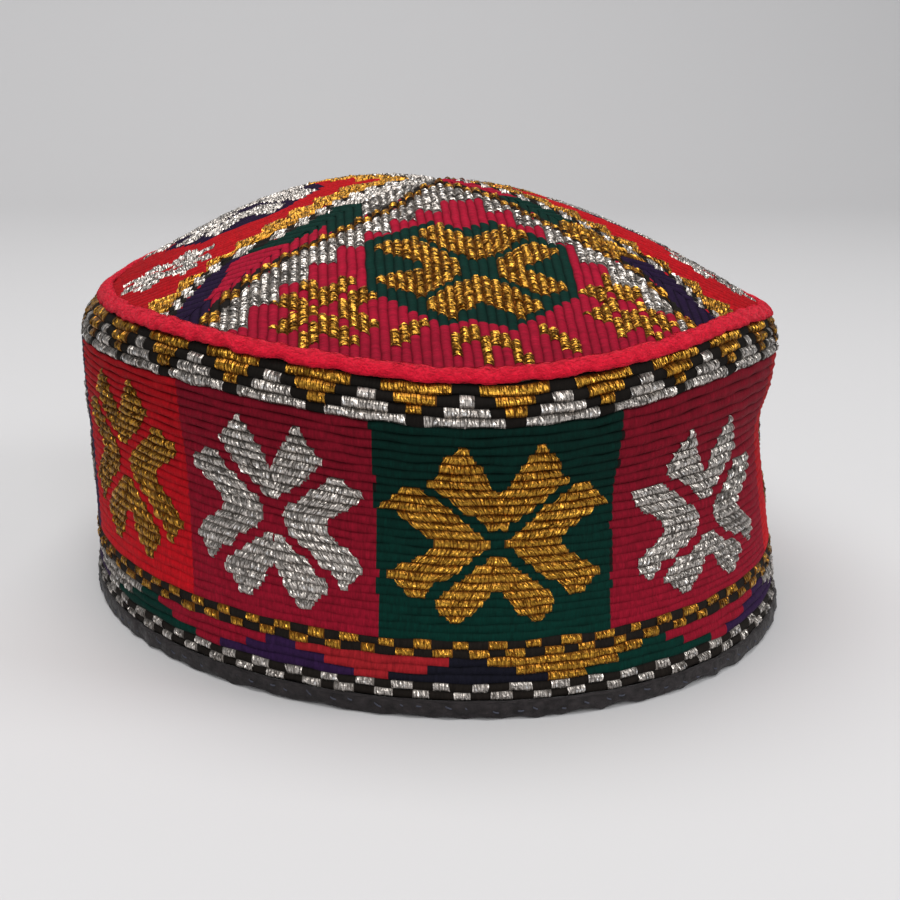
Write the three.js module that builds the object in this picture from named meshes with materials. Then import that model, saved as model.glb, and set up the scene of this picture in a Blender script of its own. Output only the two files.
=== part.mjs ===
// Tubeteika skullcap: a ribbed side band, four ribbed crown gores that meet at the top,
// a soft red welt between crown and band, and a black braid folded round the hem.
// Millimetres, +Z up. The front of the cap faces -Y, and an azimuth is measured from
// there towards +X.

import * as THREE from 'three';

// Heights
const HEM_TOP = 5.2;
const BAND_BOTTOM = 1.5;
const RIM_HEIGHT = 79;
const CROWN_RISE = 29.7;

// Cloth and joints between pieces
const BAND_THICKNESS = 2.8;
const GORE_THICKNESS = 2.5;
const BRAID_THICKNESS = 1.2;
const SEAM_GAP = 0.3;

// Ribs: cords sewn in side by side, round the band and along each gore
const BAND_RIBS = 36;
const GORE_RIBS = 56;
const RIB_DEPTH = 0.5;

// Level sections of the wall, from the hem to the rim: height as a share of the wall,
// mean radius, how far the section leans towards the cap's right, and its oval stretch
const WALL_SECTIONS = [
  { height: 0.00, radius: 92.2, lean: 1.2, stretch: 3.0 },
  { height: 0.15, radius: 91.5, lean: 0.5, stretch: 2.4 },
  { height: 0.30, radius: 90.7, lean: -0.5, stretch: 2.0 },
  { height: 0.50, radius: 89.7, lean: -2.0, stretch: 1.5 },
  { height: 0.65, radius: 89.6, lean: -2.8, stretch: 1.0 },
  { height: 0.78, radius: 91.2, lean: -1.8, stretch: 0.5 },
  { height: 0.90, radius: 91.8, lean: -1.5, stretch: 0.0 },
  { height: 0.96, radius: 91.3, lean: -1.4, stretch: -0.3 },
  { height: 1.00, radius: 89.6, lean: -1.2, stretch: -0.5 },
];
const LEAN_AZIMUTH = 81;
const STRETCH_AZIMUTH = 48;

// The rim hangs lower in the middle of each gore and rises at each seam
const RIM_WAVES = [
  { waves: 4, size: -2.5, towards: 0 },
];

// The soft cloth is also pushed up at the left of the rim and a little at its front right,
// and the wall is drawn in below the left one
const RIM_RISES = [
  { towards: -83, size: 4.4, sharpness: 15 },
  { towards: 45, size: 1.5, sharpness: 21 },
];
const RIM_PINCHES = [
  { towards: -95, size: -3, sharpness: 15 },
];
const RISE_POWER = 6;
const PINCH_POWER = 12;

// The crown is a dome with soft swellings between its top and its rim
const CROWN_POWER = 1.72;
const CROWN_SWELLINGS = [
  { waves: 1, size: 1.0, towards: -113 },
  { waves: 2, size: 1.7, towards: 74 },
  { waves: 4, size: 0.8, towards: 45 },
];

// The welt is an oval roll that slants down and out over the edge of the crown
const WELT_HALF_WIDTH = 2.7;
const WELT_HALF_DEPTH = 1.5;
const WELT_SLANT = 30;
const WELT_INSET = 2.0;
const WELT_LIFT = 1.2;
const WELT_SEAT = 1.1;
const GORE_EDGE_INSET = 5.1;

// Fineness of the meshes
const RING_COLUMNS = 36;
const WELT_SIDES = 9;
const BAND_INNER_ROWS = 7;
const GORE_ROWS = 3;
const GORE_INNER_STEP = 4;
const EDGE_PASSES = 8;

// Gores, by the azimuth of their middle line; the crown sits a little turned on the band
const CROWN_TURN = -4;
const GORES = [
  { name: 'crown_gore_front', azimuth: CROWN_TURN, color: 0xb02348 },
  { name: 'crown_gore_right', azimuth: CROWN_TURN + 90, color: 0xc22a34 },
  { name: 'crown_gore_back', azimuth: CROWN_TURN + 180, color: 0xb02348 },
  { name: 'crown_gore_left', azimuth: CROWN_TURN + 270, color: 0xc22a34 },
];
const BAND_COLOR = 0x801a2a;
const WELT_COLOR = 0xcd1e32;
const BRAID_COLOR = 0x2a2727;

const radians = THREE.MathUtils.degToRad;
const lerp = THREE.MathUtils.lerp;

// Sum of round waves at an azimuth
function wavesAt(rows, azimuth) {
  return rows.reduce(
    (sum, row) => sum + row.size * Math.cos(row.waves * (azimuth - radians(row.towards))),
    0,
  );
}

// Sum of single soft humps at an azimuth
function humpsAt(rows, azimuth) {
  return rows.reduce((sum, row) => {
    const nearness = (1 + Math.cos(azimuth - radians(row.towards))) / 2;
    return sum + row.size * nearness ** row.sharpness;
  }, 0);
}

const wallCurve = new THREE.CubicInterpolant(
  WALL_SECTIONS.map((row) => row.height),
  WALL_SECTIONS.flatMap((row) => [row.radius, row.lean, row.stretch]),
  3,
);

// Outer radius of the wall at a share of its height, on the crests of the ribs
function wallRadius(share, azimuth) {
  const [radius, lean, stretch] = wallCurve.evaluate(share);
  const sideways = lean * Math.cos(azimuth - radians(LEAN_AZIMUTH));
  const oval = stretch * Math.cos(2 * (azimuth - radians(STRETCH_AZIMUTH)));
  const pinch = humpsAt(RIM_PINCHES, azimuth) * share ** PINCH_POWER;
  return radius + sideways + oval + pinch;
}

const rimRadius = (azimuth) => wallRadius(1, azimuth);
const rimHeight = (azimuth) =>
  RIM_HEIGHT + wavesAt(RIM_WAVES, azimuth) + humpsAt(RIM_RISES, azimuth);
const bandTop = (azimuth) => rimHeight(azimuth) - WELT_SEAT;

// Height of the crown's outer surface above a point of its plan
function crownHeight(x, y) {
  const azimuth = Math.atan2(x, -y);
  const share = Math.hypot(x, y) / rimRadius(azimuth);
  const dome = CROWN_RISE * (1 - share ** CROWN_POWER);
  const edge = wavesAt(RIM_WAVES, azimuth) * share ** 2;
  const rise = humpsAt(RIM_RISES, azimuth) * share ** RISE_POWER;
  const swelling = wavesAt(CROWN_SWELLINGS, azimuth) * Math.sin(Math.PI * share);
  return RIM_HEIGHT + dome + edge + rise + swelling;
}

// Mesh from corner points and triangles of corner numbers
function makeMesh(name, color, corners, triangles) {
  const geometry = new THREE.BufferGeometry();
  geometry.setAttribute('position', new THREE.Float32BufferAttribute(corners.flat(), 3));
  geometry.setIndex(triangles.flat());
  geometry.computeVertexNormals();
  const material = new THREE.MeshStandardMaterial({ color, roughness: 0.85, metalness: 0 });
  const mesh = new THREE.Mesh(geometry, material);
  mesh.name = name;
  return mesh;
}

// Closed ring: a section of [radius, height] points, listed from the bottom up on the
// outside and down on the inside, carried round the axis
function makeRing(name, color, sectionAt) {
  const corners = [];
  const triangles = [];
  const size = sectionAt(0).length;
  for (let column = 0; column < RING_COLUMNS; column += 1) {
    const azimuth = (2 * Math.PI * column) / RING_COLUMNS;
    for (const [radius, height] of sectionAt(azimuth)) {
      corners.push([radius * Math.sin(azimuth), -radius * Math.cos(azimuth), height]);
    }
    const here = column * size;
    const next = ((column + 1) % RING_COLUMNS) * size;
    for (let point = 0; point < size; point += 1) {
      const above = (point + 1) % size;
      triangles.push([here + point, next + point, next + above]);
      triangles.push([here + point, next + above, here + above]);
    }
  }
  return makeMesh(name, color, corners, triangles);
}

// Outer radius of the wall at a height
function wallAt(height, azimuth) {
  const share = (height - BAND_BOTTOM) / (bandTop(azimuth) - BAND_BOTTOM);
  return wallRadius(share, azimuth);
}

// Side band: ribs on the outside above the braid, a smooth inside
function bandSection(azimuth) {
  const top = bandTop(azimuth);
  const section = [[wallAt(BAND_BOTTOM, azimuth), BAND_BOTTOM]];
  for (let half = 0; half <= 2 * BAND_RIBS; half += 1) {
    const height = lerp(HEM_TOP, top, half / (2 * BAND_RIBS));
    const groove = half % 2 === 0 ? RIB_DEPTH : 0;
    section.push([wallAt(height, azimuth) - groove, height]);
  }
  for (let row = 0; row < BAND_INNER_ROWS; row += 1) {
    const height = lerp(top, BAND_BOTTOM, row / (BAND_INNER_ROWS - 1));
    section.push([wallAt(height, azimuth) - BAND_THICKNESS, height]);
  }
  return section;
}

// Welt: an oval section on the slant, over the top of the band and the edge of the crown
function weltSection(azimuth) {
  const section = [];
  const slant = radians(WELT_SLANT);
  for (let side = 0; side < WELT_SIDES; side += 1) {
    const turn = (2 * Math.PI * side) / WELT_SIDES;
    const along = WELT_HALF_WIDTH * Math.cos(turn);
    const across = WELT_HALF_DEPTH * Math.sin(turn);
    section.push([
      rimRadius(azimuth) - WELT_INSET + along * Math.cos(slant) + across * Math.sin(slant),
      rimHeight(azimuth) + WELT_LIFT - along * Math.sin(slant) + across * Math.cos(slant),
    ]);
  }
  return section;
}

// Hem braid: a folded channel, flat below, with soft corners and the band's edge inside it
function braidSection(azimuth) {
  const corner = BRAID_THICKNESS / 2;
  const floor = BAND_BOTTOM - SEAM_GAP;
  const outerWall = (height) => wallAt(height, azimuth) + SEAM_GAP;
  const innerWall = (height) => wallAt(height, azimuth) - BAND_THICKNESS - SEAM_GAP;
  const outside = (height) => outerWall(height) + BRAID_THICKNESS;
  const inside = (height) => innerWall(height) - BRAID_THICKNESS;
  return [
    [outside(BAND_BOTTOM) - corner, 0],
    [outside(BAND_BOTTOM), corner],
    [outside(HEM_TOP), HEM_TOP - corner],
    [outside(HEM_TOP) - corner, HEM_TOP],
    [outerWall(HEM_TOP), HEM_TOP],
    [outerWall(BAND_BOTTOM), floor],
    [innerWall(BAND_BOTTOM), floor],
    [innerWall(HEM_TOP), HEM_TOP],
    [inside(HEM_TOP) + corner, HEM_TOP],
    [inside(HEM_TOP), HEM_TOP - corner],
    [inside(BAND_BOTTOM), corner],
    [inside(BAND_BOTTOM) + corner, 0],
  ];
}

// Strip of triangles between two lines of corner numbers that start and end together
function stitch(first, second) {
  const triangles = [];
  let a = 0;
  let b = 0;
  while (a < first.length - 1 || b < second.length - 1) {
    const nextA = (a + 1) / (first.length - 1);
    const nextB = (b + 1) / (second.length - 1);
    if (nextA <= nextB) {
      triangles.push([first[a], second[b], first[a + 1]]);
      a += 1;
    } else {
      triangles.push([first[a], second[b], second[b + 1]]);
      b += 1;
    }
  }
  return triangles;
}

// Crown gore: ribs run along its middle line, from its two seams to the edge at the welt
function makeGore({ name, azimuth, color }) {
  const turn = radians(azimuth);
  const corners = [];
  const triangles = [];
  const place = (across, out) => [
    across * Math.cos(turn) + out * Math.sin(turn),
    across * Math.sin(turn) - out * Math.cos(turn),
  ];
  const edgeRadius = (across, out) =>
    rimRadius(turn + Math.atan2(across, out)) - GORE_EDGE_INSET;
  const seamAt = (across) => Math.abs(across) + SEAM_GAP / Math.SQRT2;

  // Distance from the axis to the gore's edge along a rib
  function edgeAt(across) {
    let out = rimRadius(turn);
    for (let pass = 0; pass < EDGE_PASSES; pass += 1) {
      out = Math.sqrt(edgeRadius(across, out) ** 2 - across ** 2);
    }
    return out;
  }

  // The outermost rib on each side stops just short of the corner of seam and edge
  const corner = (edgeRadius(1, 1) - SEAM_GAP) / Math.SQRT2;
  const otherCorner = (edgeRadius(-1, 1) - SEAM_GAP) / Math.SQRT2;
  const columns = 2 * GORE_RIBS;
  const acrossAt = (column) => {
    const share = (2 * column) / columns - 1;
    return share > 0 ? share * corner : share * otherCorner;
  };

  // One surface of the gore as rows of corner numbers
  function addSurface(step, rows, lower) {
    const surface = [];
    for (let column = 0; column <= columns; column += step) {
      const across = acrossAt(column);
      const depth = lower(column);
      const line = [];
      for (let row = 0; row <= rows; row += 1) {
        const out = lerp(seamAt(across), edgeAt(across), row / rows);
        const [x, y] = place(across, out);
        line.push(corners.length);
        corners.push([x, y, crownHeight(x, y) - depth]);
      }
      surface.push(line);
    }
    return surface;
  }

  function addFaces(surface, upward) {
    for (let column = 0; column < surface.length - 1; column += 1) {
      const here = surface[column];
      const next = surface[column + 1];
      for (let row = 0; row < here.length - 1; row += 1) {
        const quad = [here[row], here[row + 1], next[row + 1], next[row]];
        const [p, q, r, s] = upward ? quad : quad.reverse();
        triangles.push([p, q, r], [p, r, s]);
      }
    }
  }

  // The four sides of a surface, in order round it
  function border(surface) {
    const last = surface.length - 1;
    const end = surface[0].length - 1;
    return [
      surface.map((line) => line[0]).reverse(),
      surface[0],
      surface.map((line) => line[end]),
      [...surface[last]].reverse(),
    ];
  }

  const groove = (column) => (column % 2 === 0 ? RIB_DEPTH : 0);
  const outer = addSurface(1, GORE_ROWS, groove);
  const inner = addSurface(GORE_INNER_STEP, GORE_ROWS - 1, () => GORE_THICKNESS);
  addFaces(outer, true);
  addFaces(inner, false);
  const innerSides = border(inner);
  border(outer).forEach((side, index) => triangles.push(...stitch(side, innerSides[index])));
  return makeMesh(name, color, corners, triangles);
}

// Assembly, moved so that the middle of its outline stands over the origin
const cap = new THREE.Group();
cap.add(makeRing('side_band', BAND_COLOR, bandSection));
cap.add(makeRing('crown_piping', WELT_COLOR, weltSection));
cap.add(makeRing('hem_binding', BRAID_COLOR, braidSection));
for (const gore of GORES) {
  cap.add(makeGore(gore));
}
const middle = new THREE.Box3().setFromObject(cap).getCenter(new THREE.Vector3());
cap.position.set(-middle.x, -middle.y, 0);

export default cap;
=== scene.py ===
# Tubeteika skullcap: corded embroidery on a side band and four crown gores, stitched over
# with gold and silver thread, a red wool welt round the rim and a black tape at the hem.
# Shapes are worked out in millimetres and made in metres.

import math

import bpy
import numpy as np
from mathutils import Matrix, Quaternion, Vector


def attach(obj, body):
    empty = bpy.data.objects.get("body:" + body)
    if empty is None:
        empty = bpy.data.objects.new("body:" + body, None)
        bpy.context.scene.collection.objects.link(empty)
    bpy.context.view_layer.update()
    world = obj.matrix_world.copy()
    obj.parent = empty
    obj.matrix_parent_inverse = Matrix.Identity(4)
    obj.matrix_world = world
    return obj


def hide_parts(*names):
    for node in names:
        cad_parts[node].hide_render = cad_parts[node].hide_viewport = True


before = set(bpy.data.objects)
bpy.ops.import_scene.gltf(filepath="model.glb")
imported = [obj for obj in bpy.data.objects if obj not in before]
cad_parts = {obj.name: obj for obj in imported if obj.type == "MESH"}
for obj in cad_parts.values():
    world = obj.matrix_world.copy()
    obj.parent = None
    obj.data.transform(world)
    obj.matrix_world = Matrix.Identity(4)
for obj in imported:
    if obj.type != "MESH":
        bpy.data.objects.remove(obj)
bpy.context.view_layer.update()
rng = np.random.default_rng(20)

MM = 0.001
TURN = 2 * math.pi

# The wall, as in the solids: its axis from the middle of the outline, heights and cloth. Only
# the top of the tape lies lower than there
AXIS = np.array((-1.140, 0.188, 0.0))
HEM_TOP = 4.3
BAND_BOTTOM = 1.5
RIM_HEIGHT = 79.0
RIM_DROP = -2.5
GORE_COUNT = 4
# Soft humps of the rim, up and inward: azimuth, size and sharpness
RIM_RISES = ((-83, 4.4, 15), (45, 1.5, 21))
RIM_PINCHES = ((-95, -3.0, 15),)
RISE_POWER = 6
PINCH_POWER = 12
BAND_THICKNESS = 2.8
GORE_THICKNESS = 2.5
WELT_SEAT = 1.1
LEAN_AZIMUTH = math.radians(81)
STRETCH_AZIMUTH = math.radians(48)

# Level sections of the wall: share of its height, mean radius, lean and oval stretch
WALL_SECTIONS = np.array((
    (0.00, 92.2, 1.2, 3.0),
    (0.15, 91.5, 0.5, 2.4),
    (0.30, 90.7, -0.5, 2.0),
    (0.50, 89.7, -2.0, 1.5),
    (0.65, 89.6, -2.8, 1.0),
    (0.78, 91.2, -1.8, 0.5),
    (0.90, 91.8, -1.5, 0.0),
    (0.96, 91.3, -1.4, -0.3),
    (1.00, 89.6, -1.2, -0.5),
))

# The crown's dome, with its soft swellings: waves round the cap, size and azimuth
CROWN_RISE = 29.7
CROWN_POWER = 1.72
CROWN_SWELLINGS = ((1, 1.0, -113), (2, 1.7, 74), (4, 0.8, 45))

# Ribs: groups of the band's ribs from the top down, with their number and pitch
BAND_GROUPS = (
    ("band_top_border", 4, 2.3),
    ("band_panels", 25, 2.0),
    ("band_bottom_border", 7, 2.06),
)
TOP_RIBS, PANEL_RIBS, BOTTOM_RIBS = (count for _, count, _ in BAND_GROUPS)
BAND_RIBS = TOP_RIBS + PANEL_RIBS + BOTTOM_RIBS
GORE_RIBS = 56
RIB_DEPTH = 0.62
RIB_POWER = 2.6
RIB_STEPS = np.array((0.0, 0.16, 0.5, 0.84))
RIB_SHADE = np.array((0.46, 0.88, 1.0, 0.88))
QUAD_SHARES = (RIB_STEPS + np.append(RIB_STEPS[1:], 1.0)) / 2
# How deep the grooves of the band are, and how strongly painted shade darkens them, from the top
# rib to the bottom one
GROOVE_RIBS = (0, 4, 12, 20, 29, 36)
GROOVE_SIZE = (1.0, 1.0, 0.8, 0.5, 0.42, 0.75)
GORE_GROOVE = 0.8
# Painted shade and light on the band: its colours darker under the rim and lighter towards the
# hem, by rib
BAND_SHADING_RIBS = (4, 29)
BAND_SHADING_SIZE = (0.78, 1.26)
# How much darker the crown's colours are made towards the rim, by distance out from the apex
RIM_DARKENING_OUT = (56, 82)
RIM_DARKENING_SIZE = (1.0, 0.78)
# Where the top border lies higher at the front, and the ribs where that fades out
FRONT_LIFT = ((3, 0.7, 8),)
LIFT_RIBS = (4, 9)
# Where the ribs of the panels sag: azimuth, size and sharpness
RIB_SAGS = ((52, 4.8, 14), (-70, -2.2, 20))
BAND_COLUMNS = 720
INNER_ROWS = 6
GORE_STEP = 0.8
GORE_EDGE_INSET = 2.6
GORE_SEAM_GAP = 0.05
# Angles between faces, in degrees, from which the shading breaks
RIB_SHARP = 50
BACKING_SHARP = 40


def linear(color):
    """Linear red, green and blue of a colour given as it shows, from 0 to 255."""
    share = np.asarray(color, float) / 255
    return np.where(share <= 0.04045, share / 12.92, ((share + 0.055) / 1.055) ** 2.4)


# Threads: the colour of each, and under a metal thread the colour of the cord below it
THREADS = {
    "black": linear((24, 20, 17)),
    "green": linear((0, 38, 31)),
    "crimson": linear((122, 12, 32)),
    "red": linear((166, 11, 23)),
    "purple": linear((38, 19, 52)),
    "violet": linear((27, 12, 41)),
    "navy": linear((16, 16, 26)),
    "magenta": linear((147, 12, 41)),
    "scarlet": linear((162, 12, 22)),
    "brick": linear((138, 26, 32)),
    "gold": linear((104, 62, 16)),
    "silver": linear((112, 106, 101)),
}
THREAD_NAMES = list(THREADS)
THREAD_COLORS = np.array([THREADS[name] for name in THREAD_NAMES])
# Metal threads: colour at the crest of a stitch, a painted highlight, and at its feet, painted
# shade
METALS = {
    "gold": (linear((204, 152, 56)), linear((134, 82, 27))),
    "silver": (linear((214, 207, 200)), linear((156, 149, 142))),
}


# Shape of the cap

def wall_curve(share):
    """Radius, lean and stretch of the wall at shares of its height."""
    knots = WALL_SECTIONS[:, 0]
    values = WALL_SECTIONS[:, 1:]
    secants = np.diff(values, axis=0) / np.diff(knots)[:, None]
    inner = (secants[1:] + secants[:-1]) / 2
    slopes = np.vstack((secants[:1], inner, secants[-1:]))
    share = np.clip(share, 0, 1)
    after = np.clip(np.searchsorted(knots, share, side="right"), 1, len(knots) - 1)
    before = after - 1
    span = (knots[after] - knots[before])[..., None]
    t = (share - knots[before])[..., None] / span
    start = values[before] * (1 + 2 * t) + slopes[before] * span * t
    end = values[after] * (3 - 2 * t) - slopes[after] * span * (1 - t)
    return start * (1 - t) ** 2 + end * t ** 2


def humps_at(rows, azimuth):
    """Sum of single soft humps at an azimuth."""
    return sum(
        size * ((1 + np.cos(azimuth - math.radians(towards))) / 2) ** sharpness
        for towards, size, sharpness in rows
    )


def wall_radius(share, azimuth):
    radius, lean, stretch = np.moveaxis(wall_curve(share), -1, 0)
    sideways = lean * np.cos(azimuth - LEAN_AZIMUTH)
    oval = stretch * np.cos(2 * (azimuth - STRETCH_AZIMUTH))
    pinch = humps_at(RIM_PINCHES, azimuth) * np.clip(share, 0, 1) ** PINCH_POWER
    return radius + sideways + oval + pinch


def rim_radius(azimuth):
    return wall_radius(np.ones_like(azimuth), azimuth)


def rim_height(azimuth):
    waves = RIM_DROP * np.cos(GORE_COUNT * azimuth)
    return RIM_HEIGHT + waves + humps_at(RIM_RISES, azimuth)


def band_top(azimuth):
    return rim_height(azimuth) - WELT_SEAT


def wall_at(height, azimuth):
    """Outer radius of the wall at a height."""
    return wall_radius((height - BAND_BOTTOM) / (band_top(azimuth) - BAND_BOTTOM), azimuth)


def crown_height(x, y):
    """Height of the crown's outer surface above a point of its plan."""
    azimuth = np.arctan2(x, -y)
    share = np.hypot(x, y) / rim_radius(azimuth)
    swelling = sum(
        size * np.cos(waves * (azimuth - math.radians(towards)))
        for waves, size, towards in CROWN_SWELLINGS
    )
    dome = CROWN_RISE * (1 - share ** CROWN_POWER)
    edge = RIM_DROP * np.cos(GORE_COUNT * azimuth) * share ** 2
    rise = humps_at(RIM_RISES, azimuth) * share ** RISE_POWER
    return RIM_HEIGHT + dome + edge + rise + swelling * np.sin(math.pi * np.minimum(share, 1))


def round_points(radius, azimuth, height):
    """Points at a radius and azimuth from the wall's axis."""
    return np.stack((radius * np.sin(azimuth), -radius * np.cos(azimuth), height), -1)


def unit(ways):
    return ways / np.linalg.norm(ways, axis=1)[:, None]


def ring_angles(count):
    return np.arange(count) * TURN / count


class Wobble:
    """Small smooth unevenness along each of a number of lines."""

    def __init__(self, lines, lowest, highest, size, terms=4):
        self.waves = rng.integers(lowest, highest, (lines, terms))
        self.phase = rng.uniform(0, TURN, (lines, terms))
        self.size = size / math.sqrt(terms / 2)

    def __call__(self, line, along):
        """Unevenness of a line at an angle along it."""
        total = 0.0
        for term in range(self.waves.shape[1]):
            total = total + np.cos(self.waves[line, term] * along + self.phase[line, term])
        return self.size * total


# Meshes

def add_object(name, data):
    added = bpy.data.objects.new(name, data)
    bpy.context.scene.collection.objects.link(added)
    return added


def make_object(name, points, faces, material, replaces=()):
    """A piece from points in millimetres and faces of point numbers, riding on the cap."""
    mesh = bpy.data.meshes.new(name)
    mesh.from_pydata(((points + AXIS) * MM).tolist(), [], faces)
    mesh.materials.append(material)
    piece = add_object(name, mesh)
    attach(piece, "root")
    if replaces:
        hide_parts(*replaces)
    return piece


def set_colors(piece, colors):
    """Colour of each face corner, in linear red, green and blue."""
    layer = piece.data.color_attributes.new("Thread", "FLOAT_COLOR", "CORNER")
    full = np.ones((len(colors), 4), np.float32)
    full[:, :3] = colors
    layer.data.foreach_set("color", full.ravel())


def set_map(piece, name, places):
    """Flat map of each face corner."""
    layer = piece.data.uv_layers.new(name=name)
    layer.uv.foreach_set("vector", np.asarray(places, np.float32).ravel())


def dress(piece, colors, threads, bake):
    """Colour and place on the two flat maps of each face corner."""
    set_colors(piece, colors)
    set_map(piece, "Threads", threads)
    set_map(piece, "OFBake", bake)


def make_strips(name, points, material):
    """Strips from points by strip, step and place across it, and the corners of one's quads."""
    count, steps, across = points.shape[:3]
    row = np.arange(steps - 1)[:, None] * across + np.array((0, across, across + 1, 1))
    quad = np.concatenate([row + place for place in range(across - 1)])
    faces = (np.arange(count)[:, None, None] * steps * across + quad).reshape(-1, 4)
    return make_object(name, points.reshape(-1, 3), faces.tolist(), material), quad


CELL_EDGE = 0.1


def set_strip_map(piece, count, quad):
    """Flat map that gives each of a number of strips a cell of its own."""
    cells = math.ceil(math.sqrt(count))
    cell = np.stack((np.arange(count) % cells, np.arange(count) // cells), -1)
    inside = np.stack((quad % 2, quad // 2 / len(quad)), -1)
    places = (cell[:, None, None, :] + CELL_EDGE + (1 - 2 * CELL_EDGE) * inside[None]) / cells
    set_map(piece, "OFBake", places.reshape(-1, 2))


def smooth_ribs(piece, sharpest):
    """Soft shading that breaks at the grooves between ribs."""
    piece.data.shade_smooth()
    piece.data.set_sharp_from_angle(angle=math.radians(sharpest))


def grid_corners(rows, columns):
    """Row and column of the four corners of each quad of a grid that closes on itself."""
    row, column = np.meshgrid(np.arange(rows), np.arange(columns), indexing="ij")
    row = row.reshape(-1, 1) + np.array((0, 1, 1, 0))
    column = column.reshape(-1, 1) + np.array((0, 0, 1, 1))
    return row, column


def ring_faces(rows, columns):
    row, column = grid_corners(rows, columns)
    return ((row % rows) * columns + column % columns).tolist()


# Charts: runs of one thread along a rib, as (rib, start, end, thread), and for slanted ends also
# how far the start and the end move from the upper side of the rib to the lower one

# Rows of the stars, from one tip to the other: starts and ends of the stretches filled on each
# side of the middle. The petals of the second star stand further apart
STAR = (
    (0.285, 0.385), (0.22, 0.47), (0.17, 0.5), (0.125, 0.535), (0.075, 0.61),
    (0.0, 0.495, 0.64, 0.845), (0.0, 0.39, 0.51, 0.92), (0.0, 0.3, 0.395, 1.0),
    (0.0, 0.17, 0.318, 0.84), (0.0, 0.1, 0.233, 0.73), (0.14, 0.62), (0.065, 0.55), (0.16, 0.61),
    (0.0, 0.1, 0.237, 0.715), (0.0, 0.2, 0.33, 0.845), (0.0, 0.3, 0.42, 0.94),
    (0.0, 0.39, 0.56, 0.85), (0.07, 0.48, 0.62, 0.785), (0.135, 0.515), (0.2, 0.48),
    (0.295, 0.415),
)
OPEN_STAR = (
    (0.275, 0.365), (0.215, 0.445), (0.16, 0.52), (0.09, 0.57), (0.045, 0.5),
    (0.0, 0.43, 0.61, 0.83), (0.0, 0.34, 0.55, 0.96), (0.0, 0.205, 0.41, 0.94),
    (0.0, 0.105, 0.305, 0.84), (0.175, 0.71), (0.13, 0.61), (0.135, 0.6), (0.185, 0.7),
    (0.0, 0.13, 0.295, 0.84), (0.0, 0.235, 0.45, 0.92), (0.0, 0.38, 0.53, 0.99),
    (0.0, 0.475, 0.68, 0.9), (0.09, 0.58, 0.75, 0.83), (0.12, 0.605), (0.19, 0.51), (0.28, 0.44),
)
# The star of the crown has the same tips and a wider middle
CROWN_STAR = STAR[:9] + (
    (0.26, 0.8), (0.2, 0.73), (0.17, 0.68), (0.21, 0.72), (0.26, 0.79),
) + STAR[14:]
STAR_JOIN = 0.16
STAR_SLANT = 0.65


def row_lean(rows, number, kind, value):
    """How far an end of a stretch moves from row to row, by the matching ends beside it."""
    found = [value, value]
    for place, other in enumerate((number - 1, number + 1)):
        if 0 <= other < len(rows):
            nearest = min(rows[other][kind::2], key=lambda end: abs(end - value))
            if abs(nearest - value) < STAR_JOIN:
                found[place] = nearest
    steps = sum(end != value for end in found)
    return STAR_SLANT * (found[1] - found[0]) / max(steps, 1)


def star_runs(chart, first_rib, ribs, middle, half, thread):
    """A star over a number of ribs, centred on middle along them, with slanted ends."""
    rows = [chart[round(rib * (len(chart) - 1) / (ribs - 1))] for rib in range(ribs)]
    runs = []
    for number, row in enumerate(rows):
        rib = first_rib + number
        for low, high in zip(row[::2], row[1::2]):
            low_lean = row_lean(rows, number, 0, low) * half
            high_lean = row_lean(rows, number, 1, high) * half
            low_end = low * half
            high_end = high * half
            runs.append((rib, middle - high_end, middle - low_end, thread, -high_lean, -low_lean))
            runs.append((rib, middle + low_end, middle + high_end, thread, low_lean, high_lean))
    return runs


# Band panels, by azimuth in degrees: start at the top and at the bottom, middle and width of
# the star, its first rib in the panel, ground and metal; each panel ends where the next starts
PANELS = (
    (-81.0, -81.0, -63.0, 29.0, 2, "red", "gold"),
    (-47.0, -47.0, -31.9, 27.4, 2, "crimson", "silver"),
    (-17.2, -15.9, 0.5, 32.8, 2, "green", "gold"),
    (18.2, 17.5, 37.0, 32.2, 4, "crimson", "silver"),
    (58.5, 58.5, 80.5, 26.5, 2, "red", "gold"),
    (96.0, 96.0, 112.7, 30.6, 2, "purple", "silver"),
    (129.4, 129.4, 148.1, 33.6, 2, "green", "gold"),
    (166.8, 166.8, 185.5, 33.6, 2, "crimson", "silver"),
    (204.2, 204.2, 222.9, 33.6, 2, "green", "gold"),
    (241.6, 241.6, 260.3, 33.6, 2, "purple", "silver"),
)
STAR_LAST_RIB = 22

TOP_REPEATS = 29
TOP_FIRST = -4.6
# How far the repeats are drawn out towards the front, in waves round the cap, and their full step
TOP_DRAWN = 1.5
TOP_WAVES = 3
TOP_STEP = 13.3
TOP_SILVER = ((1, 2.3), (2, 5.9), (3, 10.7))
TOP_GOLD = ((0, 9.3), (1, 5.4), (2, 2.2))

CHAIN_SHARE = 0.45
CHAINS = ((0, 69, -14.8, "gold"), (5, 65, -18.0, "silver"))
WAVE_ROWS = ((2, 22.5), (3, 15.0), (4, 4.9))
WAVE_FIRST = 10.9
WAVES = (
    ("gold", "green"), ("crimson", "purple"), ("silver", "navy"), ("red", "green"),
    ("gold", "purple"), ("crimson", "navy"), ("silver", "green"), ("red", "purple"),
    ("gold", "navy"), ("crimson", "purple"), ("silver", "green"), ("crimson", "purple"),
    ("brick", "navy"),
)


def top_border_runs():
    step = 360 / TOP_REPEATS
    runs = [(rib, 0, 360, "black") for rib in range(TOP_RIBS)]
    for half_steps in range(2 * TOP_REPEATS):
        even = half_steps * step / 2
        wave = math.radians(TOP_WAVES * even)
        apex = TOP_FIRST + even + TOP_DRAWN * math.sin(wave)
        local = step * (1 + math.radians(TOP_DRAWN * TOP_WAVES) * math.cos(wave)) / TOP_STEP
        rows, thread = ((TOP_SILVER, "silver"), (TOP_GOLD, "gold"))[half_steps % 2]
        for rib, width in rows:
            half = width * local / 2
            runs.append((rib, apex - half, apex + half, thread))
    return runs


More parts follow.
